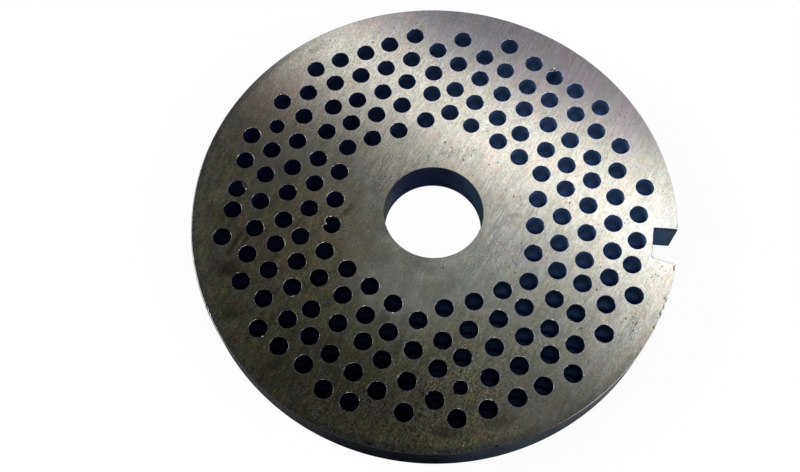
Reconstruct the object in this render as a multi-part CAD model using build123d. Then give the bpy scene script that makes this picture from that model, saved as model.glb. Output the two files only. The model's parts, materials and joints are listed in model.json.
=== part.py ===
from build123d import *

import math
import os
import random

# A plate for a meat grinder: one flat disc of steel, turned, bored, drilled and notched.
# The worm's pin runs in the bore in the middle, the meat comes out through the field of small
# holes, and a key in the grinder's ring fills the notch in the rim, so the plate can't turn.
#
# Millimetres and degrees. The origin is on the bore's axis, in the plane of the bottom face.
# +Z is up through the plate, and +X points from the bore to the middle of the notch.

# The disc
plate_diameter = 82.0
plate_thickness = 7.3
rim_edge_break = 0.35

# The bore for the worm's pin
bore_diameter = 16.8
bore_edge_break = 0.15

# The outlet holes, drilled where three sets of rows cross, 60 degrees apart
hole_diameter = 3.0
hole_pitch = 4.92
hub_land = 6.0  # plain ring between the bore and the nearest holes
rim_land = 3.2  # plain ring between the rim and the nearest holes
field_shift = 0.3  # how far the middle of the drilled field lies towards the notch
row_angle = 30.0  # from +X to the first set of rows

# The locating notch in the rim
notch_depth = 4.1
notch_width = 5.35
notch_flare_left = 4.0  # how far the wall on the +Y side leans outwards
notch_flare_right = 10.0  # how far the wall on the -Y side leans outwards
notch_corner_radius = 0.5  # where the floor meets the wall on the -Y side
notch_web = 0.5  # least steel between the notch and a hole

# The holes were spotted by hand, so they stand a little off the crossings. These distances are
# shares of the steel that is left between two neighbouring holes.
wander = 0.09
wander_seed = 1
strays = {
    (-3, -5): (-0.13, -0.55),
    (-1, 5): (0.21, 0.35),
    (6, -5): (0.06, 0.40),
    (-8, 4): (-0.02, -0.40),
    (8, -5): (-0.33, 0.20),
    (3, 5): (0.32, -0.15),
    (-4, -2): (-0.21, -0.29),
    (6, -6): (-0.25, 0.20),
    (-5, 1): (-0.22, -0.23),
    (-6, 2): (0.25, -0.18),
    (-8, 2): (-0.31, -0.03),
    (-5, 6): (0.28, 0.14),
    (2, -6): (-0.31, 0.03),
    (1, -4): (-0.18, 0.25),
    (-5, -2): (0.21, -0.20),
    (6, 0): (-0.14, -0.25),
    (5, 2): (0.22, 0.18),
    (8, -2): (0.28, 0.06),
}

# Holes that were drilled smaller than the rest, as shares of hole_diameter
small_holes = {
    (2, -7): 0.77,
    (-7, 6): 0.87,
    (1, 3): 0.92,
}

plate_radius = plate_diameter / 2
bore_radius = bore_diameter / 2
hole_radius = hole_diameter / 2
hole_web = hole_pitch - hole_diameter
notch_floor = plate_radius - notch_depth
overrun = plate_thickness / 4  # how far each cutter runs past the steel


def crossing(first, second):
    """Returns where two rows cross, as seen from the middle of the field."""
    along_first = hole_pitch * first
    along_second = hole_pitch * second
    second_angle = row_angle + 60
    x = along_first * math.cos(math.radians(row_angle))
    y = along_first * math.sin(math.radians(row_angle))
    x += along_second * math.cos(math.radians(second_angle))
    y += along_second * math.sin(math.radians(second_angle))
    return x, y


def stray(address):
    """Returns how far the hole at an address stands off its crossing."""
    if address in strays:
        share_x, share_y = strays[address]
    else:
        first, second = address
        draw = random.Random(wander_seed + 1000 * first + second)
        share_x = draw.gauss(0, wander)
        share_y = draw.gauss(0, wander)
    return share_x * hole_web, share_y * hole_web


def clears_notch(x, y):
    """Says whether a hole there leaves enough steel beside the notch."""
    reach = hole_radius + notch_web
    return x + reach < notch_floor or abs(y) > notch_width / 2 + reach


def outlet_places():
    """Returns the centre and the radius of each outlet hole."""
    nearest = bore_radius + hub_land + hole_radius
    farthest = plate_radius - rim_land - hole_radius
    most_rows = math.ceil(2 * farthest / (math.sqrt(3) * hole_pitch))
    places = []
    for first in range(-most_rows, most_rows + 1):
        for second in range(-most_rows, most_rows + 1):
            x, y = crossing(first, second)
            if not nearest <= math.hypot(x, y) <= farthest:
                continue
            stray_x, stray_y = stray((first, second))
            x += field_shift + stray_x
            y += stray_y
            if clears_notch(x, y):
                radius = hole_radius * small_holes.get((first, second), 1)
                places.append((x, y, radius))
    return places


def turned_blank():
    """Returns the disc with its bore, turned from one section."""
    section = Polyline(
        (bore_radius + bore_edge_break, 0),
        (plate_radius - rim_edge_break, 0),
        (plate_radius, rim_edge_break),
        (plate_radius, plate_thickness - rim_edge_break),
        (plate_radius - rim_edge_break, plate_thickness),
        (bore_radius + bore_edge_break, plate_thickness),
        (bore_radius, plate_thickness - bore_edge_break),
        (bore_radius, bore_edge_break),
        close=True,
    )
    return revolve(Plane.XZ * make_face(section), Axis.Z)


def drills():
    """Returns one long cylinder for each outlet hole."""
    length = plate_thickness + 2 * overrun
    bottom = (Align.CENTER, Align.CENTER, Align.MIN)
    return [
        Pos(x, y, -overrun) * Cylinder(radius, length, align=bottom)
        for x, y, radius in outlet_places()
    ]


def notch_cutter():
    """Returns the block that cuts the notch, flared towards the rim."""
    half_width = notch_width / 2
    mouth = plate_radius + overrun
    run = mouth - notch_floor
    left = half_width + run * math.tan(math.radians(notch_flare_left))
    right = half_width + run * math.tan(math.radians(notch_flare_right))
    outline = Polyline(
        (notch_floor, half_width),
        (mouth, left),
        (mouth, -right),
        (notch_floor, -half_width),
        close=True,
    )
    floor_corners = make_face(outline).vertices().sort_by(Axis.X)[:2]
    right_corner = floor_corners.sort_by(Axis.Y)[0]
    section = fillet(right_corner, notch_corner_radius)
    return extrude(Pos(0, 0, -overrun) * section, plate_thickness + 2 * overrun)


grinder_plate = turned_blank() - drills() - notch_cutter()

os.makedirs("parts", exist_ok=True)
export_step(grinder_plate, "parts/grinder_plate.step")
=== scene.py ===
import json
import math
import random

import bmesh
import bpy
from mathutils import Matrix, Vector, geometry


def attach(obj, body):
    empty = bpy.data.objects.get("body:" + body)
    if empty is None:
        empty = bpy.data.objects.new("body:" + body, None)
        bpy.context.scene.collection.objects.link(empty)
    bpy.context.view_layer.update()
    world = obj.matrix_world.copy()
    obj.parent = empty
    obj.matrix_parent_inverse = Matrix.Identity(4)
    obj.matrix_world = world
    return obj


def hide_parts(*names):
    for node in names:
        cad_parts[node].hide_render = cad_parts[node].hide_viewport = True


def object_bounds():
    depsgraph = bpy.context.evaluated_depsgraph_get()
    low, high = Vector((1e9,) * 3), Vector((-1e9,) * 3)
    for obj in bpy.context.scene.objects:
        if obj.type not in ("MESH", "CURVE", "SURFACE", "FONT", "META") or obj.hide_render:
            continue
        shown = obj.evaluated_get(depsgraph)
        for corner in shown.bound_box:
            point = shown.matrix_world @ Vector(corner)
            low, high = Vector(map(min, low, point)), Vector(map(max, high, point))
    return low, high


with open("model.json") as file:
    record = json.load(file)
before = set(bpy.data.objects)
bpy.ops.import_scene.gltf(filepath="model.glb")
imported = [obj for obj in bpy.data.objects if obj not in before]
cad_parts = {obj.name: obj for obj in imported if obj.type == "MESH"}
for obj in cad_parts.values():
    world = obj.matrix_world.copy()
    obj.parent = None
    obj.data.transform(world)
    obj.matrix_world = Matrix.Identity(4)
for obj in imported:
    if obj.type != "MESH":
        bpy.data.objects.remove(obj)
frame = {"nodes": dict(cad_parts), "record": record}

# A ground steel plate for a meat grinder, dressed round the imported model. Lengths below are in
# millimetres and are turned into metres as meshes, lamps and the camera are made.
MM = 0.001
cad_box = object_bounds()

NODE = "grinder_plate"
LAMP_SCALE = 1.0

# ---------------------------------------------------------------- sizes read from the frame


def upright_walls(node):
    """Returns (x, y, radius) for every upright wall of a CAD node, largest first."""
    mesh = bmesh.new()
    mesh.from_mesh(node.data)
    bmesh.ops.remove_doubles(mesh, verts=mesh.verts, dist=1e-6)
    upright = {face for face in mesh.faces if abs(face.normal.z) < 0.1}
    walls = []
    while upright:
        front = [upright.pop()]
        corners = set()
        while front:
            face = front.pop()
            corners.update((round(v.co.x / MM, 4), round(v.co.y / MM, 4)) for v in face.verts)
            for edge in face.edges:
                for other in edge.link_faces:
                    if other in upright:
                        upright.remove(other)
                        front.append(other)
        x = sum(c[0] for c in corners) / len(corners)
        y = sum(c[1] for c in corners) / len(corners)
        radius = sum(math.hypot(c[0] - x, c[1] - y) for c in corners) / len(corners)
        walls.append((x, y, radius, corners))
    mesh.free()
    return sorted(walls, key=lambda wall: -wall[2])


mounts = {mount["name"]: mount for mount in frame["record"]["mounts"]}
rim_radius = mounts["rim"]["dims"]["r_mm"] - 0.012
bore_radius = mounts["bore"]["dims"]["r_mm"]
top = cad_box[1].z / MM
walls = upright_walls(frame["nodes"][NODE])
holes = [wall[:3] for wall in walls[2:]]

# The notch, read from the rim wall's corners: the floor is where it comes nearest to the axis.
rim_corners = walls[0][3]
notch_floor = min(x for x, y in rim_corners if x > 0 and abs(y) < bore_radius)
inner = [y for x, y in rim_corners if x < notch_floor + 0.01 and x > 0 and abs(y) < bore_radius]
mouth = [
    (x, y)
    for x, y in rim_corners
    if x > 0 and abs(y) < bore_radius and abs(math.hypot(x, y) - rim_radius) < 0.02
]
notch_left = max(inner)
notch_mouth_left = min((c for c in mouth if c[1] > 0), key=lambda c: c[1])
notch_mouth_right = max((c for c in mouth if c[1] < 0), key=lambda c: c[1])
notch_corner = [
    (x, y)
    for x, y in rim_corners
    if x > 0 and -bore_radius < y < 0 and math.hypot(x, y) < rim_radius - 0.6
]

# ---------------------------------------------------------------- the plate's mesh

HOLE_STEPS = 40
RIM_STEPS = 840
BORE_STEPS = 120
FACE_DROP = 0.03  # the ground face lies this far below the highest burrs
HOLE_BREAK = 0.06
BORE_BREAK = 0.05
RIM_BREAK = 0.15
NOTCH_BREAK = 0.10
FACE_GRID = 1.0

# Nicks in the top edge of the rim: angle from the notch, length along the rim, depth
rim_nicks = [
    (-5.75, 0.7, 0.28),
    (-13.7, 1.0, 0.42),
    (-15.8, 0.7, 0.14),
    (-17.6, 1.3, 0.20),
    (-21.3, 0.7, 0.26),
    (-27.5, 0.6, 0.12),
    (-68.0, 0.7, 0.20),
    (-96.0, 0.9, 0.18),
    (-144.6, 0.5, 0.22),
    (-146.2, 0.7, 0.28),
    (118.0, 0.6, 0.12),
    (47.0, 0.7, 0.15),
]

# Single deep pits that stand out: x, y, radius
deep_pits = [
    (35.6, -13.2, 0.10),
    (35.4, -13.8, 0.10),
    (35.0, -14.9, 0.13),
    (34.6, -14.6, 0.14),
    (34.2, -14.2, 0.10),
    (35.5, -15.4, 0.11),
    (39.3, -4.9, 0.11),
    (38.4, -4.6, 0.10),
    (37.7, -5.6, 0.12),
    (38.1, -5.9, 0.13),
    (38.6, -6.2, 0.10),
    (-26.8, 28.6, 0.18),
    (-26.2, 28.1, 0.13),
    (-23.6, 31.2, 0.15),
    (-21.9, 30.1, 0.12),
    (5.2, 12.6, 0.15),
    (6.2, 13.1, 0.12),
    (2.6, 11.9, 0.13),
]

# Holes with a burr left hanging in them: place of the hole, direction, half width, reach
burred_holes = [
    ((-34.1, -0.8), 40, 34, 0.50),
    ((-16.6, -5.1), 172, 22, 0.62),
    ((-12.5, 11.9), 135, 16, 0.16),
    ((17.7, 30.3), 110, 28, 0.30),
]

# Patches of small pits in the top face: middle, spread, how many
pit_patches = [
    ((4.0, 11.5), (5.0, 2.0), 40),
    ((11.0, 15.0), (3.5, 3.5), 34),
    ((14.5, 3.0), (2.5, 4.5), 36),
    ((21.0, 9.0), (5.0, 6.0), 26),
    ((30.0, -12.0), (4.0, 5.0), 26),
    ((36.0, -14.0), (1.5, 5.0), 14),
    ((34.8, -14.7), (0.6, 0.6), 8),
    ((39.2, -4.6), (0.8, 0.6), 6),
    ((14.0, -9.0), (4.0, 3.0), 14),
    ((-17.0, 34.0), (4.0, 2.5), 14),
    ((-28.0, -20.0), (6.0, 6.0), 10),
    ((4.0, -35.0), (12.0, 3.0), 14),
    ((-12.0, -28.0), (9.0, 7.0), 10),
    ((0.0, 0.0), (22.0, 22.0), 60),
]


class Surface:
    """Gathers a mesh's points, faces, materials and point masks."""

    def __init__(self):
        self.points = []
        self.faces = []
        self.slots = []
        self.smooth = []
        self.worn = []
        self.pit = []
        self.edge = []
        self.halo = []

    def add_ring(self, ring, worn=0.0, pit=0.0, halo=0.0):
        """Adds points and returns their numbers."""
        start = len(self.points)
        self.points.extend(ring)
        self.worn.extend([worn] * len(ring))
        self.pit.extend([pit] * len(ring))
        self.edge.extend([0.0] * len(ring))
        self.halo.extend([halo] * len(ring))
        return list(range(start, start + len(ring)))

    def bridge(self, upper, lower, slot, inward, smooth=True):
        """Joins two rings of the same length. inward is True for the wall of a hole."""
        count = len(upper)
        for i in range(count):
            j = (i + 1) % count
            face = (upper[i], lower[i], lower[j], upper[j])
            if inward:
                face = face[::-1]
            self.faces.append(face)
            self.slots.append(slot)
            self.smooth.append(smooth)


FACE, WALL, BORE, DRILL, NOTCH = range(5)
surface = Surface()


def circle(x, y, radii, z, steps, turn=0.0):
    """Returns points round (x, y). radii and z are numbers or functions of the angle."""
    points = []
    for i in range(steps):
        angle = 2 * math.pi * i / steps + turn
        radius = radii(angle) if callable(radii) else radii
        height = z(angle) if callable(z) else z
        points.append((x + radius * math.cos(angle), y + radius * math.sin(angle), height))
    return points


def ripple(seed, lobes, size):
    """Returns a smooth function of the angle with seeded lobes, between about -size and size."""
    draw = random.Random(seed)
    waves = [(n, draw.uniform(0.3, 1.0) * size / len(lobes), draw.uniform(0, 2 * math.pi)) for n in lobes]
    return lambda angle: sum(share * math.cos(n * angle + phase) for n, share, phase in waves)


def drilled_hole(number, x, y, radius):
    """Adds one outlet hole and returns its loops on the top and bottom faces."""
    draw = random.Random(900 + number)
    turn = draw.uniform(0, 2 * math.pi)
    rough = draw.random() ** 3
    round_error = ripple(1000 + number, (2, 3, 4), 0.008 + 0.03 * rough)
    break_error = ripple(2000 + number, (1, 2, 3), 0.015 + 0.045 * rough)
    burr = ripple(3000 + number, (1, 2, 5, 9), 0.02)
    gap = min(math.hypot(x - a, y - b) for a, b, c in holes if (a, b) != (x, y)) - 2 * radius
    margin = min(0.45, gap / 2 - 0.22)
    flaps = [hole[1:] for hole in burred_holes if math.dist(hole[0], (x, y)) < 1.2]

    def wall_radius(angle):
        return radius + 0.045 + round_error(angle)

    def flap(angle):
        """How far a burr hangs into the hole at an angle."""
        reach = 0.0
        for direction, half_width, length in flaps:
            away = (math.degrees(angle) - direction + 180) % 360 - 180
            share = max(0.0, 1 - (away / half_width) ** 2)
            reach = max(reach, length * share ** 0.7 * (1 + 0.25 * math.sin(away * 0.45)))
        return reach

    def edge_width(angle):
        return max(0.03, HOLE_BREAK + break_error(angle))

    def lip(angle):
        return top - FACE_DROP + max(0.0, burr(angle))

    profile = (
        (lambda a: wall_radius(a) + edge_width(a) + margin, top - FACE_DROP, 0.0, 0.0),
        (lambda a: wall_radius(a) + edge_width(a), top - FACE_DROP, 0.4, 1.0),
        (lambda a: wall_radius(a) + 0.55 * edge_width(a) - 0.1 * flap(a), lip, 0.8, 1.0),
        (lambda a: wall_radius(a) + 0.12 * edge_width(a) - flap(a),
         lambda a: top - FACE_DROP - 0.45 * edge_width(a) - 0.12 * flap(a), 0.5, 1.0),
        (lambda a: wall_radius(a) - 0.2 * flap(a), lambda a: top - FACE_DROP - 1.3 * edge_width(a) - 0.8 * flap(a), 0.0, 0.0),
        (radius, HOLE_BREAK, 0.0, 0.0),
        (radius + HOLE_BREAK, 0.0, 0.5, 0.0),
    )
    rings = [
        surface.add_ring(circle(x, y, reach, height, HOLE_STEPS, turn), worn, 0.0, halo)
        for reach, height, worn, halo in profile
    ]
    for ring, dull in zip(rings[1:5], (0.8, 0.9, 0.4, 0.9)):
        for step, point in enumerate(ring):
            angle = 2 * math.pi * step / HOLE_STEPS + turn
            # The pit mask paints the burr flaps dark: painted shade that hides their glint.
            surface.pit[point] = min(dull, 4.0 * flap(angle))
            # The painted edge glint is weaker on each hole's side toward +X +Y.
            surface.worn[point] *= 1 - 0.65 * max(0.0, math.cos(angle - math.radians(48)))
    for k, (upper, lower) in enumerate(zip(rings, rings[1:])):
        surface.bridge(upper, lower, DRILL if k in (3, 4) else FACE, True, k > 0)
    return rings[0], rings[-1]


def bored_wall():
    """Adds the bore and returns its loops on the top and bottom faces."""
    chatter = ripple(41, (3, 5, 11, 17), 0.02)
    profile = (
        (lambda a: bore_radius + BORE_BREAK + chatter(a) + 0.3, top - FACE_DROP, 0.0),
        (lambda a: bore_radius + BORE_BREAK + chatter(a), top - FACE_DROP, 0.3),
        (bore_radius + 0.35 * BORE_BREAK, top - FACE_DROP - 0.4 * BORE_BREAK, 0.5),
        (bore_radius, top - FACE_DROP - 1.1 * BORE_BREAK, 0.2),
        (bore_radius, BORE_BREAK, 0.0),
        (bore_radius + BORE_BREAK, 0.0, 0.5),
    )
    rings = [surface.add_ring(circle(0, 0, reach, height, BORE_STEPS), worn) for reach, height, worn in profile]
    for k, (upper, lower) in enumerate(zip(rings, rings[1:])):
        surface.bridge(upper, lower, BORE if k in (1, 2, 3) else FACE, True, k > 0)
    return rings[0], rings[-1]


def rim_outline():
    """Returns the plate's outline counter-clockwise, as (x, y, is_rim)."""
    start = math.atan2(notch_mouth_left[1], notch_mouth_left[0])
    end = 2 * math.pi + math.atan2(notch_mouth_right[1], notch_mouth_right[0])
    outline = []
    for i in range(RIM_STEPS + 1):
        angle = start + (end - start) * i / RIM_STEPS
        outline.append((rim_radius * math.cos(angle), rim_radius * math.sin(angle), True))
    last = notch_mouth_right
    for corner in sorted(notch_corner, key=lambda c: c[1]) + [(notch_floor, notch_left), notch_mouth_left]:
        length = math.dist(last, corner)
        steps = max(1, round(length / 0.5))
        for i in range(1, steps + 1):
            x = last[0] + (corner[0] - last[0]) * i / steps
            y = last[1] + (corner[1] - last[1]) * i / steps
            outline.append((x, y, False))
        last = corner
    return outline[:-1]


def rim_wall():
    """Adds the rim and the notch, and returns their loops on the top and bottom faces."""
    outline = rim_outline()
    count = len(outline)
    inward = []
    for i in range(count):
        before = Vector(outline[i - 1][:2])
        after = Vector(outline[(i + 1) % count][:2])
        along = (after - before).normalized()
        inward.append(Vector((-along.y, along.x)))
    wear = ripple(77, (3, 7, 13, 29, 51), 0.07)
    rows = [[], [], [], [], [], [], [], []]
    dents = []
    for (x, y, is_rim), normal in zip(outline, inward):
        angle = math.degrees(math.atan2(y, x))
        # The edge is nearly sharp toward the notch and well worn on the far side.
        keen = min(1.0, max(0.0, (x / rim_radius - 0.5) / 0.35))
        width = (RIM_BREAK + wear(math.radians(angle))) * (1 - 0.65 * keen) if is_rim else NOTCH_BREAK
        if is_rim and abs(angle) < 5.6:
            width = NOTCH_BREAK + (width - NOTCH_BREAK) * max(0.0, (abs(angle) - 4.2) / 1.4)
        depth = width
        dents.append(0.0)
        # Each nick also raises the pit mask, which paints it dark: painted shade in the recess.
        for at, length, deep in rim_nicks:
            gap = (angle - at) * math.pi / 180 * rim_radius / (length / 2)
            if is_rim and abs(gap) < 1:
                dent = (1 - gap * gap) ** 2 * deep
                width += dent
                depth += dent * 0.8
                dents[-1] = min(1.0, dents[-1] + dent * 4.0)
        spots = [
            (width + 0.15, top - FACE_DROP),
            (width, top - FACE_DROP),
            (0.45 * width, top - FACE_DROP - 0.22 * depth),
            (0.12 * width, top - FACE_DROP - 0.6 * depth),
            (0.0, top - FACE_DROP - 1.15 * depth),
            (0.0, NOTCH_BREAK if not is_rim else RIM_BREAK),
            (0.3 * (NOTCH_BREAK if not is_rim else RIM_BREAK), 0.3 * (NOTCH_BREAK if not is_rim else RIM_BREAK)),
            (NOTCH_BREAK if not is_rim else RIM_BREAK, 0.0),
        ]
        for row, (inset, z) in zip(rows, spots):
            row.append((x + normal.x * inset, y + normal.y * inset, z))
    worn = (0.0, 0.1, 0.6, 0.6, 0.2, 0.0, 0.3, 0.3)
    rings = [surface.add_ring(row, w) for row, w in zip(rows, worn)]
    # The edge mask carries painted shade on the rim's broken edge; it is raised at the far side and toward the lower
    # right.
    for ring, at_edge in zip(rings[1:5], (0.0, 0.35, 0.85, 1.0)):
        for number, dent, (x, y, is_rim) in zip(ring, dents, outline):
            surface.pit[number] = dent
            far_side = min(1.0, max(0.0, (-x / rim_radius - 0.25) / 0.35))
            lower_right = min(1.0, max(0.0, (x / rim_radius - 0.1) / 0.3))
            lower_right *= min(1.0, max(0.0, (-y / rim_radius - 0.15) / 0.25))
            raised = max(0.8 * far_side, 0.75 * lower_right) if at_edge else 0.0
            surface.edge[number] = at_edge + (1 - at_edge) * raised if is_rim else 0.0
    walls_at = [WALL if outline[i][2] and outline[(i + 1) % count][2] else NOTCH for i in range(count)]
    for k, (upper, lower) in enumerate(zip(rings, rings[1:])):
        surface.bridge(upper, lower, FACE, False, k > 0)
        if k in (3, 4, 5):
            surface.slots[-count:] = walls_at
    return rings[0], rings[-1]


def pit_sites(blocked):
    """Returns (x, y, radius, depth) for small pits that keep clear of every edge."""
    draw = random.Random(7)
    sites = [(x, y, size, size * 0.5) for x, y, size in deep_pits if not blocked(x, y, size + 0.02)]
    for (mid_x, mid_y), (spread_x, spread_y), count in pit_patches:
        for _ in range(count):
            x = mid_x + draw.gauss(0, spread_x * 0.6)
            y = mid_y + draw.gauss(0, spread_y * 0.6)
            size = 0.075 + 0.12 * draw.random() ** 3
            depth = size * draw.uniform(0.25, 0.5)
            clear = all(math.hypot(x - a, y - b) > size + c + 0.05 for a, b, c, d in sites)
            if clear and not blocked(x, y, size + 0.05):
                sites.append((x, y, size, depth))
    return sites


def too_near_edge(x, y, room):
    """Says whether a place on the face is nearer than room to a hole, the bore, the rim or the notch."""
    if not bore_radius + BORE_BREAK + 0.4 + room < math.hypot(x, y) < rim_radius - RIM_BREAK - 0.8 - room:
        return True
    if x > notch_floor - NOTCH_BREAK - 0.3 - room and abs(y) < abs(notch_mouth_right[1]) + NOTCH_BREAK + 0.3 + room:
        return True
    return any(math.hypot(x - a, y - b) < radius + HOLE_BREAK + 0.62 + room for a, b, radius in holes)


def ground_face(outer, inner_loops, z, facing_up, pits):
    """Fills the face between the outer loop and the inner loops with triangles."""
    used = [number for loop in [outer] + inner_loops for number in loop]
    places = [Vector(surface.points[number][:2]) for number in used]
    edges = []
    loop_of = {}
    start = 0
    for index, loop in enumerate([outer] + inner_loops):
        for i in range(len(loop)):
            edges.append((start + i, start + (i + 1) % len(loop)))
            loop_of[start + i] = index
        start += len(loop)

    def add_loose(x, y, height, pit):
        used.extend(surface.add_ring([(x, y, height)], 0.0, pit))
        places.append(Vector((x, y)))

    if facing_up:
        for x, y, size, depth in pits:
            spin = x * 7.0
            for share, sink, steps, pit in ((1.0, 0.0, 9, 0.0), (0.86, 0.03, 9, 0.9), (0.62, 0.75, 8, 1.0)):
                for px, py, _ in circle(x, y, size * share, 0, steps, spin):
                    add_loose(px, py, z - depth * sink, pit)
            add_loose(x, y, z - depth, 1.0)
        grid = random.Random(3)
        steps = int(rim_radius / FACE_GRID) + 1
        for i in range(-steps, steps + 1):
            for j in range(-steps, steps + 1):
                x = (i + 0.5 * (j % 2) + grid.uniform(-0.2, 0.2)) * FACE_GRID
                y = (j * 0.866 + grid.uniform(-0.2, 0.2)) * FACE_GRID
                if too_near_edge(x, y, 0.2):
                    continue
                if any(abs(x - a) < c + 0.35 and abs(y - b) < c + 0.35 for a, b, c, d in pits):
                    continue
                add_loose(x, y, z, 0.0)

    points, _, triangles, origin, _, _ = geometry.delaunay_2d_cdt(places, edges, [], 0, 1e-6)
    number_of = [used[sources[0]] for sources in origin]
    loop_at = [loop_of.get(sources[0]) for sources in origin]
    for triangle in triangles:
        loops = {loop_at[i] for i in triangle}
        if len(loops) == 1 and None not in loops:
            if 0 not in loops:
                continue
            middle = sum((points[i] for i in triangle), Vector((0, 0))) / 3
            if middle.x > notch_floor - NOTCH_BREAK and abs(middle.y) < abs(notch_mouth_right[1]) + 0.5:
                if middle.x > notch_floor - NOTCH_BREAK * 0.9:
                    if inside_notch(middle):
                        continue
        face = [number_of[i] for i in triangle]
        a, b, c = (points[i] for i in triangle)
        counter_clockwise = (b - a).cross(c - a) > 0
        if counter_clockwise != facing_up:
            face.reverse()
        surface.faces.append(tuple(face))
        surface.slots.append(FACE)
        surface.smooth.append(False)


def inside_notch(place):
    """Says whether a place lies in the notch, past its broken edges."""
    run = (place.x - notch_floor) / (notch_mouth_left[0] - notch_floor)
    left = notch_left + (notch_mouth_left[1] - notch_left) * run + NOTCH_BREAK * 0.5
    right = -notch_left + (notch_mouth_right[1] + notch_left) * run - NOTCH_BREAK * 0.5
    return right < place.y < left


def build_plate():
    """Builds the dressed plate as one closed mesh."""
    top_loops = []
    bottom_loops = []
    for number, (x, y, radius) in enumerate(holes):
        upper, lower = drilled_hole(number, x, y, radius)
        top_loops.append(upper)
        bottom_loops.append(lower)
    upper, lower = bored_wall()
    top_loops.append(upper)
    bottom_loops.append(lower)
    rim_upper, rim_lower = rim_wall()
    pits = pit_sites(too_near_edge)
    ground_face(rim_upper, top_loops, top - FACE_DROP, True, pits)
    ground_face(rim_lower, bottom_loops, 0.0, False, [])

    mesh = bpy.data.meshes.new("ground_plate")
    mesh.from_pydata([(x * MM, y * MM, z * MM) for x, y, z in surface.points], [], surface.faces)
    mesh.polygons.foreach_set("material_index", surface.slots)
    mesh.attributes.new("worn", "FLOAT", "POINT").data.foreach_set("value", surface.worn)
    mesh.attributes.new("pit", "FLOAT", "POINT").data.foreach_set("value", surface.pit)
    mesh.attributes.new("edge", "FLOAT", "POINT").data.foreach_set("value", surface.edge)
    mesh.attributes.new("halo", "FLOAT", "POINT").data.foreach_set("value", surface.halo)
    mesh.shade_smooth()
    mesh.set_sharp_from_angle(angle=math.radians(50))
    mesh.polygons.foreach_set("use_smooth", surface.smooth)
    mesh.validate()
    plate = bpy.data.objects.new("ground_plate", mesh)
    bpy.context.scene.collection.objects.link(plate)
    print("plate triangles", sum(len(p.vertices) - 2 for p in mesh.polygons))
    return plate


# ---------------------------------------------------------------- materials


def shader_node(tree, kind, values=None, **settings):
    """Adds a node. settings are its properties; values are its inputs, a socket or a number."""
    node = tree.nodes.new(kind)
    for name, value in settings.items():
        setattr(node, name, value)
    for name, value in (values or {}).items():
        if isinstance(value, bpy.types.NodeSocket):
            tree.links.new(value, node.inputs[name])
        else:
            node.inputs[name].default_value = value
    return node


def in_plate(tree, turn_degrees, stretch):
    """Returns a vector socket: the place on the object in millimetres, turned, then stretched."""
    place = shader_node(tree, "ShaderNodeTexCoord").outputs["Object"]
    turned = shader_node(tree, "ShaderNodeMapping", {
        "Vector": place,
        "Rotation": (0, 0, -math.radians(turn_degrees)),
        "Scale": (1 / MM, 1 / MM, 1 / MM),
    })
    return shader_node(tree, "ShaderNodeMapping", {"Vector": turned.outputs[0], "Scale": stretch}).outputs[0]


def noise_at(tree, vector, scale, detail=2.0, roughness=0.5, distortion=0.0):
    """Returns a noise value socket."""
    return shader_node(tree, "ShaderNodeTexNoise", {
        "Vector": vector, "Scale": scale, "Detail": detail, "Roughness": roughness, "Distortion": distortion,
    }).outputs["Fac"]


def remap(tree, value, low, high, to_low=0.0, to_high=1.0, smooth=True):
    """Returns value mapped from low..high to to_low..to_high, clamped."""
    return shader_node(tree, "ShaderNodeMapRange", {
        "Value": value, "From Min": low, "From Max": high, "To Min": to_low, "To Max": to_high,
    }, interpolation_type="SMOOTHSTEP" if smooth else "LINEAR").outputs["Result"]


def combine(tree, operation, a, b):
    """Returns a maths node's value."""
    node = shader_node(tree, "ShaderNodeMath", operation=operation)
    for socket, value in zip(node.inputs, (a, b)):
        if isinstance(value, bpy.types.NodeSocket):
            tree.links.new(value, socket)
        else:
            socket.default_value = value
    return node.outputs[0]


def blend(tree, share, a, b, mode="MIX"):
    """Returns colour a mixed with colour b. share, a and b are sockets or plain values."""
    node = shader_node(tree, "ShaderNodeMix", data_type="RGBA", blend_type=mode, clamp_factor=True)
    for socket, value in zip((node.inputs[0], node.inputs[6], node.inputs[7]), (share, a, b)):
        if isinstance(value, bpy.types.NodeSocket):
            tree.links.new(value, socket)
        elif isinstance(value, tuple):
            socket.default_value = (*value, 1.0)
        else:
            socket.default_value = value
    return node.outputs[2]


def ramp(tree, value, low, high, stops):
    """Returns a colour that follows value. stops are (value, colour), lowest first."""
    share = remap(tree, value, low, high, smooth=False)
    node = shader_node(tree, "ShaderNodeValToRGB", {"Fac": share})
    marks = node.color_ramp.elements
    for index, (at, colour) in enumerate(stops):
        mark = marks[index] if index < 2 else marks.new(1.0)
        mark.position = (at - low) / (high - low)
        mark.color = (*colour, 1.0)
    return node.outputs["Color"]


def attribute(tree, name):
    """Returns a point mask of the mesh."""
    return shader_node(tree, "ShaderNodeAttribute", attribute_name=name).outputs["Fac"]


GRIND_ANGLE = 68.0
STEEL = (0.385, 0.37, 0.34)
STEEL_PALE = (0.45, 0.44, 0.41)
YELLOW_FILM = (0.235, 0.216, 0.104)
BROWN_FILM = (0.216, 0.176, 0.120)
GREY_FILM = (0.168, 0.184, 0.136)
MAUVE_TINT = (0.75, 0.71, 0.84)


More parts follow.
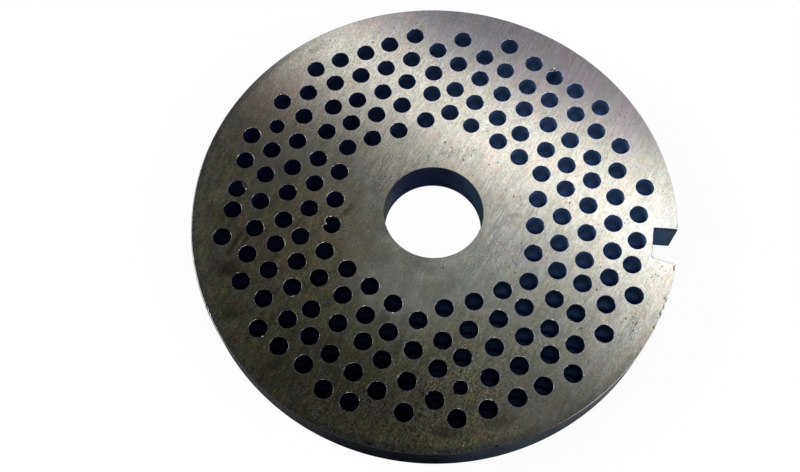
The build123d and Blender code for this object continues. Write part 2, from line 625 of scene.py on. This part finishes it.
# Smears and stains on the top face: middle, half length, half width, direction, strength
dark_smears = [
    ((-32.0, -10.5), 3.6, 0.6, 72, 0.7),
    ((-30.2, -9.5), 3.0, 0.45, 68, 0.55),
    ((-32.3, -15.6), 2.6, 1.4, 5, 0.7),
    ((-30.0, -23.1), 2.2, 1.2, 10, 0.6),
    ((-21.1, -30.1), 1.8, 1.2, 30, 0.5),
    ((15.1, -33.9), 2.4, 1.3, 20, 0.5),
    ((6.9, -36.8), 2.6, 1.0, 0, 0.55),
    ((-14.2, -1.8), 1.6, 0.8, 70, 0.5),
    ((-5.3, -19.9), 1.8, 0.9, 75, 0.4),
    ((-25.1, 29.5), 1.6, 1.0, 60, 0.35),
    ((1.5, 11.5), 1.5, 0.5, 35, 0.07),
    ((12.0, 19.5), 1.4, 0.6, 40, 0.25),
    ((14.0, 1.4), 1.2, 0.5, 0, 0.30),
    ((30.5, -13.0), 1.2, 0.6, 60, 0.12),
    ((35.2, -14.6), 0.5, 0.3, 70, 0.10),
    ((32.8, -14.6), 0.8, 0.4, 40, 0.12),
    ((37.6, -6.0), 0.9, 0.3, 30, 0.12),
    ((28.4, -5.9), 1.1, 0.4, 10, 0.14),
]


# Painted light and shade on the top face, broad patches that lighten or darken the steel: middle, full out to, gone at,
# colour that multiplies the steel's
light_and_shade_patches = [
    ((-10.0, -40.0), 8.0, 25.0, (0.64, 0.64, 0.64)),
    ((-19.0, -6.5), 4.0, 14.0, (1.25, 1.18, 1.07)),
    ((11.0, -6.0), 3.0, 12.0, (1.16, 1.19, 1.25)),
    ((33.0, -21.0), 3.0, 11.0, (1.20, 1.18, 1.20)),
    ((20.0, -35.0), 2.0, 9.0, (1.18, 1.14, 1.14)),
    ((1.0, 39.0), 3.0, 14.0, (0.86, 0.90, 0.90)),
    ((-31.0, 17.0), 3.0, 12.0, (1.08, 1.0, 1.0)),
    ((-17.0, 11.0), 2.0, 8.0, (0.92, 0.91, 0.89)),
    ((38.0, 2.0), 2.0, 10.0, (1.03, 1.05, 1.11)),
    ((7.0, 12.0), 2.5, 7.5, (1.05, 1.03, 1.03)),
    ((-9.5, 7.0), 1.5, 5.0, (1.10, 1.10, 1.10)),
]

# Painted glints, bright flecks in the top face: x, y, radius
painted_glints = [
    (10.27, -38.45, 0.13),
    (12.70, -38.07, 0.10),
    (16.40, 25.90, 0.22),
    (-29.6, -17.2, 0.12),
    (-8.5, -33.2, 0.12),
    (-6.9, -33.9, 0.10),
    (-13.65, 12.85, 0.16),
    (17.35, 31.25, 0.16),
    (-17.5, -4.95, 0.17),
]


def smear_mask(tree, plain, ragged):
    """Returns the strength of the smears at a place, broken up by a noise value."""
    total = None
    for (x, y), half_length, half_width, turn, strength in dark_smears:
        local = shader_node(tree, "ShaderNodeMapping", {
            "Vector": plain,
            "Location": (x, y, 0),
            "Rotation": (0, 0, math.radians(turn)),
            "Scale": (half_length, half_width, 1000.0),
        }, vector_type="TEXTURE")
        away = shader_node(tree, "ShaderNodeVectorMath", {0: local.outputs[0]}, operation="LENGTH")
        away = combine(tree, "ADD", away.outputs["Value"], ragged)
        mask = remap(tree, away, 0.3, 1.3, strength, 0.0)
        total = mask if total is None else combine(tree, "MAXIMUM", total, mask)
    return total


def centred(tree, value, reach):
    """Returns a factor round 1: value 0.5 gives 1, and 0.25 away from it gives 1 minus or plus reach."""
    return remap(tree, value, 0.25, 0.75, 1 - reach, 1 + reach, False)


def ground_steel():
    """The two faces: surface-ground steel with one-way lines, a stained film that also paints shade, pits and
    scratches, and painted light, shade and glints.
    """
    material = bpy.data.materials.new("ground_steel")
    material.use_nodes = True
    tree = material.node_tree
    shader = tree.nodes["Principled BSDF"]

    plain = in_plate(tree, 0, (1, 1, 1))
    place = shader_node(tree, "ShaderNodeSeparateXYZ", {"Vector": plain})
    fine_lines = noise_at(tree, in_plate(tree, GRIND_ANGLE, (0.5, 5.5, 1)), 1.0, 3, 0.65)
    long_lines = noise_at(tree, in_plate(tree, GRIND_ANGLE + 4, (0.12, 3.2, 1)), 1.0, 3, 0.6)
    cross_lines = noise_at(tree, in_plate(tree, GRIND_ANGLE + 34, (0.12, 2.4, 1)), 1.0, 4, 0.65)
    grain = noise_at(tree, in_plate(tree, GRIND_ANGLE, (0.6, 1.3, 1)), 0.4, 5, 0.85)
    grit = noise_at(tree, in_plate(tree, GRIND_ANGLE - 6, (0.75, 1.6, 1)), 2.2, 3, 0.7)
    cloud = noise_at(tree, plain, 0.11, 3, 0.55, 0.4)
    warm = noise_at(tree, in_plate(tree, 60, (0.85, 1.0, 1)), 0.50, 4, 0.72)
    green = noise_at(tree, in_plate(tree, 85, (0.85, 1.0, 1)), 0.60, 4, 0.72)
    dust = noise_at(tree, in_plate(tree, GRIND_ANGLE, (0.66, 1.25, 1)), 4.6, 2, 0.6)

    # The film of old grease and stain is thickest on the side away from the notch's left. Its darkening there is also
    # painted shade, in place of a darker reflection on that side.
    slope = combine(tree, "ADD", combine(tree, "MULTIPLY", place.outputs["X"], -0.0095),
                    combine(tree, "MULTIPLY", place.outputs["Y"], -0.0160))
    film_and_shade = combine(tree, "ADD", slope, combine(tree, "MULTIPLY", combine(tree, "SUBTRACT", cloud, 0.5), 0.5))
    # It thins below the bore, toward the rim, which paints that part lighter.
    thinned_below_bore = shader_node(tree, "ShaderNodeVectorMath", {0: plain, 1: (-3.0, -11.0, top)}, operation="DISTANCE")
    film_and_shade = combine(tree, "SUBTRACT", film_and_shade, remap(tree, thinned_below_bore.outputs["Value"], 3.0, 17.0, 0.23, 0.0))
    # It thins again toward the rim at +X -Y, which paints that part lighter too.
    thinned_lower_right = shader_node(tree, "ShaderNodeVectorMath", {0: plain, 1: (26.0, -36.0, top)}, operation="DISTANCE")
    film_and_shade = combine(tree, "SUBTRACT", film_and_shade, remap(tree, thinned_lower_right.outputs["Value"], 4.0, 17.0, 0.17, 0.0))
    film_and_shade = remap(tree, film_and_shade, -0.16, 0.46)
    # Painted shade: toward +Y, and a little toward +X, the bare steel is made darker and bluer.
    mauve_slope = combine(tree, "ADD", combine(tree, "MULTIPLY", place.outputs["X"], 0.008),
                          combine(tree, "MULTIPLY", place.outputs["Y"], 0.024))
    mauve = remap(tree, combine(tree, "ADD", mauve_slope, combine(tree, "MULTIPLY", cloud, 0.35)), 0.72, 1.12)

    bare = blend(tree, remap(tree, long_lines, 0.30, 0.70), STEEL, STEEL_PALE)
    bare = blend(tree, remap(tree, warm, 0.43, 0.59, 0.0, 0.36), bare, (0.43, 0.365, 0.29))
    bare = blend(tree, remap(tree, green, 0.45, 0.59, 0.0, 0.38), bare, (0.335, 0.38, 0.36))
    tinted = blend(tree, combine(tree, "MULTIPLY", mauve, 0.85), bare, MAUVE_TINT, "MULTIPLY")
    stain = blend(tree, remap(tree, warm, 0.42, 0.58), GREY_FILM, YELLOW_FILM)
    stain = blend(tree, remap(tree, green, 0.45, 0.58), stain, BROWN_FILM)
    # Stain and painted shade: where the film lies, the steel is darker and tinted.
    stained_and_shaded = blend(tree, combine(tree, "MULTIPLY", film_and_shade, 0.85), tinted, stain)
    reach = shader_node(tree, "ShaderNodeVectorMath", {0: plain}, operation="LENGTH").outputs["Value"]
    # Painted shade of a rounded edge: just inside the rim the face turns grey at -X and dark toward -Y, less so past +X
    # 11.
    near_rim = remap(tree, combine(tree, "ADD", reach, combine(tree, "MULTIPLY", grain, 0.6)),
                     rim_radius - 0.6, rim_radius + 0.35)
    along_x = combine(tree, "DIVIDE", place.outputs["X"], rim_radius)
    along_y = combine(tree, "DIVIDE", place.outputs["Y"], rim_radius)
    left_edge_shade = combine(tree, "MULTIPLY", near_rim, remap(tree, along_x, -0.45, -0.80, 0.0, 0.7))
    stained_and_shaded = blend(tree, left_edge_shade, stained_and_shaded, (0.185, 0.195, 0.195))
    low_side = combine(tree, "SUBTRACT", combine(tree, "MULTIPLY", along_x, 0.37), combine(tree, "MULTIPLY", along_y, 0.93))
    low_edge_shade = combine(tree, "MULTIPLY", near_rim, remap(tree, low_side, 0.6, 0.9, 0.0, 0.65))
    low_edge_shade = combine(tree, "MULTIPLY", low_edge_shade, remap(tree, place.outputs["X"], 11.0, 26.0, 1.0, 0.45))
    stained_and_shaded = blend(tree, low_edge_shade, stained_and_shaded, (0.08, 0.09, 0.11))
    # Painted light and shade: broad lighter and darker patches.
    for (x, y), full, gone, colour in light_and_shade_patches:
        away = shader_node(tree, "ShaderNodeVectorMath", {0: plain, 1: (x, y, top)}, operation="DISTANCE")
        stained_and_shaded = blend(tree, remap(tree, away.outputs["Value"], full, gone, 1.0, 0.0), stained_and_shaded, colour, "MULTIPLY")
    hue = remap(tree, noise_at(tree, in_plate(tree, 20, (1, 1, 1)), 0.30, 3, 0.65), 0.38, 0.62, 0.0, 1.0, False)
    hue_share = combine(tree, "MAXIMUM", remap(tree, film_and_shade, 0.5, 0.95, 0.32, 1.0), combine(tree, "MULTIPLY", mauve, 0.6))
    hue_share = combine(tree, "MULTIPLY", hue_share, remap(tree, low_side, 0.35, 0.7, 1.0, 0.5))
    stained_and_shaded = blend(tree, hue_share, stained_and_shaded, blend(tree, hue, (0.92, 1.025, 0.91), (1.08, 0.975, 1.09)), "MULTIPLY")

    light_grain = combine(tree, "MULTIPLY", centred(tree, grain, 0.28), centred(tree, grit, 0.18))
    coarse = shader_node(tree, "ShaderNodeMix", {
        0: remap(tree, low_side, 0.5, 0.8), 2: centred(tree, grain, 0.66), 3: centred(tree, grain, 0.42),
    }, data_type="FLOAT")
    heavy_grain = combine(tree, "MULTIPLY", coarse.outputs[0], centred(tree, grit, 0.55))
    heavy_grain = combine(tree, "MINIMUM", combine(tree, "MULTIPLY", heavy_grain, centred(tree, dust, 0.22)), 1.5)
    # Where the film, stain and painted shade, lies thick; less so toward +X.
    thick_film_and_shade = combine(tree, "MULTIPLY", remap(tree, film_and_shade, 0.40, 1.0), remap(tree, place.outputs["X"], 4.0, 24.0, 1.0, 0.6))
    tone = shader_node(tree, "ShaderNodeMix", {0: thick_film_and_shade, 2: light_grain, 3: heavy_grain}, data_type="FLOAT")
    tone = combine(tree, "MULTIPLY", tone.outputs[0], centred(tree, fine_lines, 0.15))
    # The finest grain is strongest toward the rim across from the camera's far side.
    reach_of_dust = combine(tree, "ADD", remap(tree, low_side, 0.30, 0.75, 0.75, 1.05),
                            combine(tree, "MULTIPLY", remap(tree, place.outputs["Y"], 18.0, 30.0, 0.0, 0.9),
                                    remap(tree, place.outputs["X"], -8.0, 8.0, 1.0, 0.0)))
    reach_of_dust = combine(tree, "ADD", reach_of_dust, combine(tree, "MULTIPLY",
                            remap(tree, low_side, 0.45, 0.8), remap(tree, place.outputs["X"], 24.0, 8.0, 0.0, 2.8)))
    reach_of_dust = combine(tree, "SUBTRACT", reach_of_dust, remap(tree, place.outputs["X"], 0.0, -14.0, 0.0, 0.1))
    dusty = combine(tree, "MULTIPLY", combine(tree, "SUBTRACT", dust, 0.5), reach_of_dust)
    dusty = combine(tree, "MINIMUM", dusty, 0.34)
    tone = combine(tree, "MULTIPLY", tone, combine(tree, "ADD", 1.0, dusty))
    tone = shader_node(tree, "ShaderNodeMix", {0: remap(tree, thinned_below_bore.outputs["Value"], 6.0, 14.0, 0.5, 0.0), 2: tone, 3: 1.0},
                       data_type="FLOAT").outputs[0]
    blotch = combine(tree, "SUBTRACT", noise_at(tree, plain, 0.27, 2, 0.5), 0.5)
    blotch = combine(tree, "MULTIPLY", blotch, remap(tree, thinned_below_bore.outputs["Value"], 6.0, 14.0, 1.2, 0.0))
    tone = combine(tree, "MULTIPLY", tone, combine(tree, "ADD", 1.0, blotch))
    quiet = combine(tree, "MAXIMUM", combine(tree, "MULTIPLY", mauve, 0.5),
                    remap(tree, thinned_lower_right.outputs["Value"], 8.0, 22.0, 0.2, 0.0))
    calm = shader_node(tree, "ShaderNodeMix", {0: quiet, 2: tone, 3: 1.0}, data_type="FLOAT")
    tone = calm.outputs[0]
    toned = blend(tree, 1.0, stained_and_shaded, tone, "MULTIPLY")
    ragged = combine(tree, "MULTIPLY", combine(tree, "SUBTRACT", noise_at(tree, plain, 0.9, 4, 0.7), 0.5), 2.6)
    toned = blend(tree, smear_mask(tree, plain, ragged), toned, (0.06, 0.055, 0.045))

    speck_zone = remap(tree, noise_at(tree, plain, 0.16, 2), 0.46, 0.62)
    speck_grain = noise_at(tree, in_plate(tree, GRIND_ANGLE, (2.1, 4.2, 1)), 1.0, 2, 0.55)
    specks = combine(tree, "MULTIPLY", remap(tree, speck_grain, 0.64, 0.71), speck_zone)
    specked = blend(tree, combine(tree, "MULTIPLY", specks, 0.6), toned, (0.09, 0.075, 0.06))
    # Painted glints: a few pale specks where the film is thick.
    glint_grain = remap(tree, noise_at(tree, in_plate(tree, 10, (1, 1, 1)), 5.0, 2, 0.5), 0.72, 0.80)
    glinting = blend(tree, combine(tree, "MULTIPLY", glint_grain, combine(tree, "MULTIPLY", thick_film_and_shade, 0.03)), specked, (0.60, 0.59, 0.55))
    # Round each hole the face's colour is made a little colder and paler, more so in the film.
    cold = combine(tree, "MULTIPLY", attribute(tree, "halo"), remap(tree, film_and_shade, 0.2, 0.9, 0.32, 1.0))
    glinting = blend(tree, cold, glinting, (0.98, 1.03, 1.30), "MULTIPLY")
    # Wear and painted glint: the broken edges round the holes, the bore and the rim are paler.
    chipped = remap(tree, noise_at(tree, plain, 1.1, 2, 0.6), 0.42, 0.62, 0.1, 0.8)
    bright_edge = blend(tree, remap(tree, film_and_shade, 0.3, 0.95), (0.40, 0.39, 0.38), (0.235, 0.235, 0.22))
    worn = blend(tree, combine(tree, "MULTIPLY", attribute(tree, "worn"), chipped), glinting, bright_edge)
    # Painted shade on the broken edge of the rim: dark below and grey at the left; above and at the notch it is bare.
    shaded_side = combine(tree, "ADD", combine(tree, "MULTIPLY", along_x, -0.5), combine(tree, "MULTIPLY", along_y, -0.87))
    painted_edge_shade = combine(tree, "MULTIPLY", attribute(tree, "edge"), remap(tree, shaded_side, -0.30, 0.05))
    edge_shade_tone = ramp(tree, place.outputs["X"], -41.0, 41.0, (
        (-41.0, (0.013, 0.014, 0.014)),
        (-20.0, (0.014, 0.016, 0.018)),
        (0.0, (0.010, 0.013, 0.018)),
        (10.0, (0.020, 0.026, 0.040)),
        (23.0, (0.018, 0.021, 0.027)),
        (34.0, (0.030, 0.032, 0.036)),
    ))
    worn = blend(tree, painted_edge_shade, worn, edge_shade_tone)
    # Dark in the pits; painted shade in the rim's nicks and over the burr flaps.
    pitted = blend(tree, combine(tree, "MULTIPLY", attribute(tree, "pit"), 0.85), worn, (0.035, 0.030, 0.027))
    # Painted glints at a few given places.
    for x, y, radius in painted_glints:
        away = shader_node(tree, "ShaderNodeVectorMath", {0: plain, 1: (x, y, top)}, operation="DISTANCE")
        glint_spot = remap(tree, away.outputs["Value"], radius * 0.6, radius * 1.4, 1.0, 0.0)
        pitted = blend(tree, glint_spot, pitted, (0.80, 0.80, 0.78))
    tree.links.new(pitted, shader.inputs["Base Color"])

    shader.inputs["Metallic"].default_value = 1.0
    rough = combine(tree, "ADD", remap(tree, fine_lines, 0.3, 0.7, 0.19, 0.22), combine(tree, "MULTIPLY", film_and_shade, 0.04))
    rough = combine(tree, "ADD", rough, combine(tree, "MULTIPLY", specks, 0.2))
    tree.links.new(rough, shader.inputs["Roughness"])

    height = combine(tree, "ADD", combine(tree, "MULTIPLY", fine_lines, 0.28), combine(tree, "MULTIPLY", long_lines, 0.32))
    height = combine(tree, "ADD", height, combine(tree, "MULTIPLY", cross_lines, 0.19))
    gritty = remap(tree, place.outputs["X"], -14.0, 4.0, 0.13, 0.27)
    height = combine(tree, "ADD", height, combine(tree, "MULTIPLY", grit, gritty))
    height = combine(tree, "SUBTRACT", height, combine(tree, "MULTIPLY", specks, 0.8))
    bump = shader_node(tree, "ShaderNodeBump", {"Height": height, "Distance": 0.0012 * MM, "Strength": 1.0})
    tree.links.new(bump.outputs["Normal"], shader.inputs["Normal"])
    return material


def dark_steel(name, tone, roughness, groove_scale, shallow, deep):
    """A dark wall with turned or drilled grooves. tone(tree, plain, place) gives its colour at a place.

    shallow and deep scale its colour near the top face and far below it: painted light and shade.
    """
    material = bpy.data.materials.new(name)
    material.use_nodes = True
    tree = material.node_tree
    shader = tree.nodes["Principled BSDF"]
    plain = in_plate(tree, 0, (1, 1, 1))
    place = shader_node(tree, "ShaderNodeSeparateXYZ", {"Vector": plain})
    grooves = noise_at(tree, in_plate(tree, 0, groove_scale), 1.0, 3, 0.6)
    patches = noise_at(tree, plain, 0.35, 3, 0.6)
    toned = blend(tree, 1.0, tone(tree, plain, place), centred(tree, patches, 0.3), "MULTIPLY")
    lined = blend(tree, 1.0, toned, centred(tree, grooves, 0.25), "MULTIPLY")
    # Painted light and shade by depth.
    light = remap(tree, place.outputs["Z"], 1.5, top - 1.0, deep, shallow)
    lined = blend(tree, 1.0, lined, light, "MULTIPLY")
    # Wear and painted glint: the wall's broken edges are a little paler.
    worn = blend(tree, combine(tree, "MULTIPLY", attribute(tree, "worn"), 0.10), lined, (0.20, 0.20, 0.20))
    tree.links.new(worn, shader.inputs["Base Color"])
    shader.inputs["Metallic"].default_value = 0.0
    shader.inputs["Specular IOR Level"].default_value = 0.0
    tree.links.new(remap(tree, grooves, 0.3, 0.7, roughness, roughness + 0.12), shader.inputs["Roughness"])
    bump = shader_node(tree, "ShaderNodeBump", {"Height": grooves, "Distance": 0.01 * MM, "Strength": 1.0})
    tree.links.new(bump.outputs["Normal"], shader.inputs["Normal"])
    return material


def rim_tone(tree, plain, place):
    """The dark rim wall, with painted light and shade along X: grey at the left, black below and blue-grey toward the
    notch.
    """
    return ramp(tree, place.outputs["X"], -41.0, 41.0, (
        (-24.0, (0.037, 0.039, 0.040)),
        (-9.0, (0.0075, 0.0095, 0.0115)),
        (0.0, (0.0030, 0.0043, 0.0062)),
        (6.0, (0.0026, 0.0036, 0.0058)),
        (11.0, (0.0105, 0.0135, 0.0230)),
        (19.0, (0.023, 0.031, 0.037)),
        (23.4, (0.030, 0.033, 0.042)),
        (32.0, (0.074, 0.077, 0.082)),
    ))


def notch_tone(tree, plain, place):
    """Navy with painted light and shade: a little greener outward and darker along its top and bottom edges."""
    toned = ramp(tree, place.outputs["X"], 30.0, 42.0, (
        (36.0, (0.035, 0.064, 0.140)),
        (38.6, (0.040, 0.070, 0.135)),
        (39.8, (0.047, 0.072, 0.120)),
        (40.8, (0.038, 0.052, 0.075)),
    ))
    upper = remap(tree, place.outputs["Z"], top - 1.3, top - 0.3, 1.0, 0.45)
    lower = remap(tree, place.outputs["Z"], 0.1, 0.9, 0.35, 1.0)
    return blend(tree, 1.0, toned, combine(tree, "MULTIPLY", upper, lower), "MULTIPLY")


def bore_tone(tree, plain, place):
    """Painted light and shade on the dark bore wall: near black at the back, greyer at both sides."""
    return ramp(tree, place.outputs["X"], -10.0, 10.0, (
        (-8.4, (0.036, 0.042, 0.042)),
        (-7.4, (0.017, 0.021, 0.037)),
        (-5.5, (0.007, 0.010, 0.023)),
        (-3.0, (0.0062, 0.010, 0.025)),
        (1.0, (0.0085, 0.0125, 0.029)),
        (4.5, (0.015, 0.024, 0.051)),
        (7.4, (0.0115, 0.021, 0.033)),
        (8.4, (0.015, 0.020, 0.0205)),
    ))


def drill_tone(tree, plain, place):
    """Painted light and shade in the holes: bluest just left of the notch, near black far from it."""
    near = shader_node(tree, "ShaderNodeVectorMath", {0: plain, 1: (29.0, 11.0, top)}, operation="DISTANCE")
    blue = remap(tree, near.outputs["Value"], 8.0, 51.0, 1.07, 0.0)
    blue = combine(tree, "ADD", blue, combine(tree, "MULTIPLY", remap(tree, place.outputs["Y"], 14.0, 34.0, 0.0, 0.17),
                   remap(tree, place.outputs["X"], -10.0, 18.0, 1.4, 0.7)))
    shaded = shader_node(tree, "ShaderNodeVectorMath", {0: plain, 1: (15.0, -3.0, top)}, operation="DISTANCE")
    blue = combine(tree, "SUBTRACT", blue, remap(tree, shaded.outputs["Value"], 3.0, 11.0, 0.09, 0.0))
    low = remap(tree, place.outputs["Y"], 2.0, -14.0)
    blue = combine(tree, "MULTIPLY", blue, combine(tree, "SUBTRACT", 1.0, combine(tree, "MULTIPLY", low, 0.26)))
    toned = blend(tree, blue, (0.0056, 0.0076, 0.026), (0.064, 0.118, 0.256))
    # Painted shade toward the top face, more so at -Y, and painted light deep down.
    shade = remap(tree, place.outputs["Z"], top - 1.0, top - 0.1, 1.0, 0.5)
    shade = combine(tree, "MULTIPLY", shade, combine(tree, "SUBTRACT", 1.0, combine(tree, "MULTIPLY", low,
                    remap(tree, place.outputs["Z"], 3.8, top - 1.0, 0.0, 0.68))))
    deep = combine(tree, "MULTIPLY", remap(tree, place.outputs["Z"], 4.6, 1.5, 0.0, 0.9),
                   combine(tree, "ADD", blue, combine(tree, "MULTIPLY", low, 1.2)))
    shade = combine(tree, "MULTIPLY", shade, combine(tree, "ADD", deep, 1.0))
    return blend(tree, 1.0, toned, shade, "MULTIPLY")


# ---------------------------------------------------------------- floor, lamps and camera


def pale_floor():
    """A white floor that keeps the plate's shadow. Nothing is lifted under the plate itself, where the floor is painted
    near black as shade, with a painted navy glow toward +X +Y.
    """
    material = bpy.data.materials.new("floor_white")
    material.use_nodes = True
    tree = material.node_tree
    tree.nodes.clear()
    out = shader_node(tree, "ShaderNodeOutputMaterial")
    glow = shader_node(tree, "ShaderNodeEmission", {"Color": (1, 1, 1, 1), "Strength": 1.0})
    rays = shader_node(tree, "ShaderNodeLightPath")
    seen = combine(tree, "MAXIMUM", rays.outputs["Is Camera Ray"], rays.outputs["Is Glossy Ray"])
    seen = combine(tree, "MAXIMUM", seen, rays.outputs["Is Transmission Ray"])
    place = shader_node(tree, "ShaderNodeTexCoord").outputs["Object"]
    flat = shader_node(tree, "ShaderNodeVectorMath", {0: place, 1: (1, 1, 0)}, operation="MULTIPLY")
    reach = shader_node(tree, "ShaderNodeVectorMath", {0: flat.outputs[0]}, operation="LENGTH").outputs["Value"]
    under = combine(tree, "MULTIPLY",
                    combine(tree, "GREATER_THAN", reach, (bore_radius + 0.5) * MM),
                    combine(tree, "LESS_THAN", reach, (rim_radius - 1.0) * MM))
    axes = shader_node(tree, "ShaderNodeSeparateXYZ", {"Vector": place})
    in_notch = combine(tree, "MULTIPLY",
                       combine(tree, "GREATER_THAN", axes.outputs["X"], (notch_floor - 1.0) * MM),
                       combine(tree, "LESS_THAN", combine(tree, "ABSOLUTE", axes.outputs["Y"], 0.0), 4.0 * MM))
    under = combine(tree, "MULTIPLY", under, combine(tree, "SUBTRACT", 1.0, in_notch))
    # Painted shade and light under the plate, seen through the holes: near black, with a navy glow toward +X +Y.
    near = shader_node(tree, "ShaderNodeVectorMath", {0: place, 1: (28.0 * MM, 10.0 * MM, 0.0)}, operation="DISTANCE")
    glow_under = remap(tree, near.outputs["Value"], 10.0 * MM, 54.0 * MM, 1.0, 0.0)
    painted_under_plate = blend(tree, glow_under, (0.0017, 0.0028, 0.009), (0.035, 0.055, 0.12))
    tone = blend(tree, under, (0.88, 0.88, 0.88), painted_under_plate)
    diffuse = shader_node(tree, "ShaderNodeBsdfDiffuse", {"Color": tone})
    lift = combine(tree, "MULTIPLY", seen, combine(tree, "SUBTRACT", 1.0, under))
    # Inside the bore the floor is lifted more, which paints out more of the plate's shadow there.
    lift = combine(tree, "MULTIPLY", lift, remap(tree, reach, 9.0 * MM, 11.0 * MM, 0.97, 0.90))
    mix = shader_node(tree, "ShaderNodeMixShader", {"Fac": lift, 1: diffuse.outputs[0], 2: glow.outputs[0]})
    tree.links.new(mix.outputs[0], out.inputs["Surface"])

    half = 6.0
    mesh = bpy.data.meshes.new("floor")
    mesh.from_pydata([(-half, -half, 0), (half, -half, 0), (half, half, 0), (-half, half, 0)], [], [(0, 1, 2, 3)])
    mesh.materials.append(material)
    floor = bpy.data.objects.new("floor", mesh)
    floor.location.z = -0.02 * MM
    bpy.context.scene.collection.objects.link(floor)


def soft_lamp(name, place, target, size, power, color=(1, 1, 1)):
    """A rectangular soft lamp. place and target are in millimetres."""
    lamp = bpy.data.lights.new(name, "AREA")
    lamp.shape = "RECTANGLE"
    lamp.size = size[0] * MM
    lamp.size_y = size[1] * MM
    lamp.energy = power * LAMP_SCALE
    lamp.color = color
    holder = bpy.data.objects.new(name, lamp)
    holder.visible_camera = False
    holder.location = Vector(place) * MM
    aim = Vector(target) - Vector(place)
    holder.rotation_mode = "QUATERNION"
    holder.rotation_quaternion = aim.to_track_quat("-Z", "Y")
    bpy.context.scene.collection.objects.link(holder)
    return holder


def strip_lamp(name, start, end, width, power, color=(1, 1, 1)):
    """A strip lamp between two points above the plate, facing down."""
    start, end = Vector(start), Vector(end)
    holder = soft_lamp(name, (start + end) / 2, (start + end) / 2 - Vector((0, 0, 1)), ((end - start).length, width), power, color)
    angle = math.atan2(end.y - start.y, end.x - start.x)
    holder.rotation_quaternion = Matrix.Rotation(angle, 4, "Z").to_quaternion()
    return holder


def lights():
    strip_lamp("window_left", (-146.6, 292.7, 357), (-11.6, 220.1, 357), 42, 0.058, (1.0, 0.985, 0.95))
    strip_lamp("window_middle", (-11.6, 221.5, 357), (79.5, 178.0, 357), 42, 0.0515, (1.0, 0.985, 0.95))
    strip_lamp("window_right", (79.5, 178.0, 357), (168.4, 125.0, 357), 62, 0.077, (1.0, 0.99, 0.96))
    soft_lamp("window_glow", (85, 226, 357), (85, 226, 0), (80, 46), 0.0090)
    soft_lamp("left_patch", (-185, 120, 357), (-185, 120, 0), (110, 140), 0.008)
    soft_lamp("ceiling_patch", (32, 110, 357), (32, 110, 0), (170, 64), 0.0142, (0.9, 1.0, 1.0))
    strip_lamp("ceiling_back", (-60, 326, 357), (190, 208, 357), 115, 0.0415, (0.95, 0.93, 1.06))
    soft_lamp("camera_side", (18, -102, 237), (0, 0, 0), (60, 60), 0.24)
    soft_lamp("left_fill", (-650, 50, 300), (0, 0, 0), (500, 500), 5.6)
    soft_lamp("right_fill", (650, -150, 300), (0, 0, 0), (500, 500), 4.4, (0.95, 0.97, 1.0))
    world = bpy.data.worlds.new("studio")
    bpy.context.scene.world = world
    world.use_nodes = True
    tree = world.node_tree
    background = tree.nodes["Background"]
    direction = shader_node(tree, "ShaderNodeTexCoord").outputs["Generated"]
    height = shader_node(tree, "ShaderNodeSeparateXYZ", {"Vector": direction}).outputs["Z"]
    shade = remap(tree, height, 0.0, 0.8, 0.6, 0.015)
    tree.links.new(shade, background.inputs["Strength"])
    background.inputs["Color"].default_value = (0.95, 0.97, 1.0, 1.0)


def camera():
    """The photograph's view, given as a direction, a distance and the point that it is aimed at."""
    azimuth, elevation, roll = (math.radians(v) for v in (10.57, 66.76, -1.71))
    distance = 172.4
    aim = Vector((-4.90, -5.275, top))
    back = Vector((math.sin(azimuth) * math.cos(elevation), -math.cos(azimuth) * math.cos(elevation), math.sin(elevation)))
    data = bpy.data.cameras.new("camera")
    data.sensor_width = 36.0
    data.lens = 1030.3 / 800 * data.sensor_width
    holder = bpy.data.objects.new("camera", data)
    holder.location = (aim + back * distance) * MM
    holder.rotation_mode = "QUATERNION"
    facing = (-back).to_track_quat("-Z", "Y").to_matrix()
    holder.rotation_quaternion = (facing @ Matrix.Rotation(roll, 3, "Z")).to_quaternion()
    data.clip_start = 0.005
    data.clip_end = 50.0
    bpy.context.scene.collection.objects.link(holder)
    bpy.context.scene.camera = holder


plate = build_plate()
for material in (
    ground_steel(),
    dark_steel("rim_steel", rim_tone, 0.5, (1, 1, 6), 1.0, 1.0),
    dark_steel("bored_steel", bore_tone, 0.5, (1, 1, 8), 1.0, 2.0),
    dark_steel("drilled_steel", drill_tone, 0.55, (1, 1, 8), 0.85, 2.3),
    dark_steel("notch_steel", notch_tone, 0.5, (1, 1, 6), 1.0, 1.0),
):
    plate.data.materials.append(material)
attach(plate, "root")
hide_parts(NODE)
pale_floor()
lights()
camera()
bpy.context.scene.view_settings.view_transform = "Standard"
